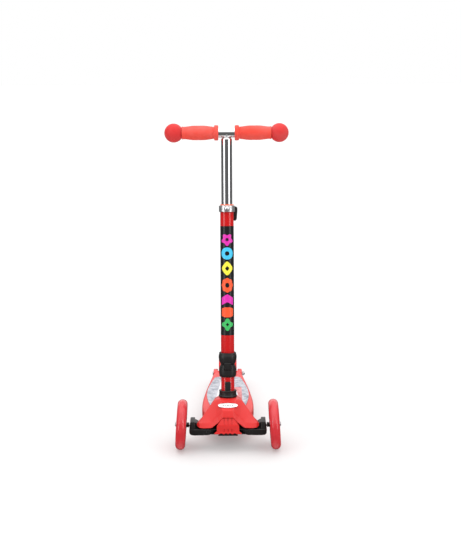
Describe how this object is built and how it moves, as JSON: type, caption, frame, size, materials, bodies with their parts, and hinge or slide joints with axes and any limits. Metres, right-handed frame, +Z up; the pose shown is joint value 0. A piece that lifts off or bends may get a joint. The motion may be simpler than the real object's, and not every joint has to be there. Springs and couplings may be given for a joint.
{
  "type": "kick scooter",
  "caption": "Child's lean-to-steer kick scooter with two cambered front wheels, a raked folding column with a height clamp, a T handlebar and a foot brake over narrow rear wheels.",
  "frame": {"origin": "on the ground under the middle of the bounding box, on the plane of symmetry", "axes": "+Z up, the front of the scooter faces -Y, +X is to the right of someone who faces the scooter's front"},
  "size_m": [0.295, 0.56, 0.7612],
  "materials": {
    "red_plastic": "bright red moulded plastic, semi-gloss",
    "red_paint": "glossy red powder coat on tube",
    "orange_plastic": "orange-red moulded bush",
    "black_plastic": "black moulded plastic, fine grain",
    "printed_mat": "printed non-slip mat, satin",
    "badge_enamel": "white badge with a bright rim",
    "wheel_rubber": "translucent red polyurethane",
    "wheel_core": "translucent red moulded core",
    "grip_rubber": "coral moulded rubber",
    "ball_rubber": "darker red moulded rubber",
    "steel": "zinc-plated steel",
    "chrome": "polished chrome plate",
    "aluminium": "satin cast aluminium"
  },
  "bodies": {
    "chassis": {"deck_board": "red_plastic", "deck_mat": "printed_mat", "deck_screw_left": "steel", "deck_screw_right": "steel", "truck_housing": "black_plastic", "nose_block": "red_plastic", "front_cover": "red_plastic", "cover_badge": "badge_enamel", "left_kingpin": "steel", "right_kingpin": "steel", "left_centring_spring": "steel", "right_centring_spring": "steel", "stem_collar": "black_plastic", "stem_stub": "red_paint", "fold_base": "black_plastic", "fold_pin": "steel", "rear_axle": "steel", "rear_axle_nut": "steel", "rear_axle_spacer": "aluminium", "fender_pin": "steel", "fender_spring": "steel"},
    "left_steer": {"left_steering_arm": "black_plastic", "left_axle_bolt": "steel", "left_axle_sleeve": "black_plastic", "left_tie_screw": "steel"},
    "right_steer": {"right_steering_arm": "black_plastic", "right_axle_bolt": "steel", "right_axle_sleeve": "black_plastic", "right_tie_screw": "steel"},
    "tie_link": {"tie_rod": "steel"},
    "front_left_wheel": {"front_left_tyre": "wheel_rubber", "front_left_core": "wheel_core", "front_left_outer_bearing": "steel", "front_left_inner_bearing": "steel"},
    "front_right_wheel": {"front_right_tyre": "wheel_rubber", "front_right_core": "wheel_core", "front_right_outer_bearing": "steel", "front_right_inner_bearing": "steel"},
    "rear_left_wheel": {"rear_left_tyre": "wheel_rubber", "rear_left_core": "wheel_core", "rear_left_outer_bearing": "steel", "rear_left_inner_bearing": "steel"},
    "rear_right_wheel": {"rear_right_tyre": "wheel_rubber", "rear_right_core": "wheel_core", "rear_right_outer_bearing": "steel", "rear_right_inner_bearing": "steel"},
    "fender": {"rear_fender": "red_plastic"},
    "mast": {"fold_head": "black_plastic", "outer_tube": "red_paint", "tube_bush": "orange_plastic", "clamp_ring": "aluminium", "clamp_skewer": "steel"},
    "latch": {"fold_latch": "black_plastic"},
    "lever": {"clamp_lever": "black_plastic"},
    "button": {"height_button": "aluminium"},
    "handlebar": {"handlebar_tube": "chrome", "left_grip": "grip_rubber", "right_grip": "grip_rubber", "left_bar_end": "ball_rubber", "right_bar_end": "ball_rubber"}
  },
  "joints": [
    {"name": "left_steer_hinge", "type": "hinge", "parent": "chassis", "child": "left_steer", "pos_m": [-0.036, -0.22, 0.051], "axis": [0, -0.342, 0.9397], "range_deg": [-14, 14], "stiffness_Nm_per_rad": 6},
    {"name": "right_steer_hinge", "type": "hinge", "parent": "chassis", "child": "right_steer", "pos_m": [0.036, -0.22, 0.051], "axis": [0, -0.342, 0.9397], "range_deg": [-14, 14]},
    {"name": "tie_rod_hinge", "type": "hinge", "parent": "left_steer", "child": "tie_link", "pos_m": [-0.036, -0.19745, 0.05921], "axis": [0, -0.342, 0.9397], "range_deg": [-14, 14]},
    {"name": "front_left_spin", "type": "hinge", "parent": "left_steer", "child": "front_left_wheel", "pos_m": [-0.111, -0.22, 0.0599], "axis": [-0.9979, 0, 0.0645], "continuous": true},
    {"name": "front_right_spin", "type": "hinge", "parent": "right_steer", "child": "front_right_wheel", "pos_m": [0.111, -0.22, 0.0599], "axis": [0.9979, 0, 0.0645], "continuous": true},
    {"name": "rear_left_spin", "type": "hinge", "parent": "chassis", "child": "rear_left_wheel", "pos_m": [-0.0122, 0.228, 0.04], "axis": [-1, 0, 0], "continuous": true},
    {"name": "rear_right_spin", "type": "hinge", "parent": "chassis", "child": "rear_right_wheel", "pos_m": [0.0122, 0.228, 0.04], "axis": [1, 0, 0], "continuous": true},
    {"name": "fender_press", "type": "hinge", "parent": "chassis", "child": "fender", "pos_m": [0, 0.178, 0.058], "axis": [-1, 0, 0], "range_deg": [0, 11], "stiffness_Nm_per_rad": 0.8, "springref_deg": -17.19},
    {"name": "fold_hinge", "type": "hinge", "parent": "chassis", "child": "mast", "pos_m": [0, -0.14037, 0.18879], "axis": [-1, 0, 0], "range_deg": [0, 90]},
    {"name": "latch_press", "type": "slide", "parent": "mast", "child": "latch", "axis": [0, 0.9882, -0.153], "range_m": [0, 0.002], "stiffness_N_per_m": 600, "springref_m": -0.003},
    {"name": "lever_swing", "type": "hinge", "parent": "mast", "child": "lever", "pos_m": [0.02, -0.08177, 0.55756], "axis": [0, -0.9882, 0.153], "range_deg": [0, 110]},
    {"name": "button_press", "type": "slide", "parent": "mast", "child": "button", "axis": [0, 0.9882, -0.153], "range_m": [0, 0.002], "stiffness_N_per_m": 500, "springref_m": -0.003},
    {"name": "height_slide", "type": "slide", "parent": "mast", "child": "handlebar", "axis": [0, 0.153, 0.9882], "range_m": [-0.15, 0]}
  ],
  "couplings": [
    {"joint": "right_steer_hinge", "follows": "left_steer_hinge", "ratio": 1},
    {"joint": "tie_rod_hinge", "follows": "left_steer_hinge", "ratio": -1}
  ]
}
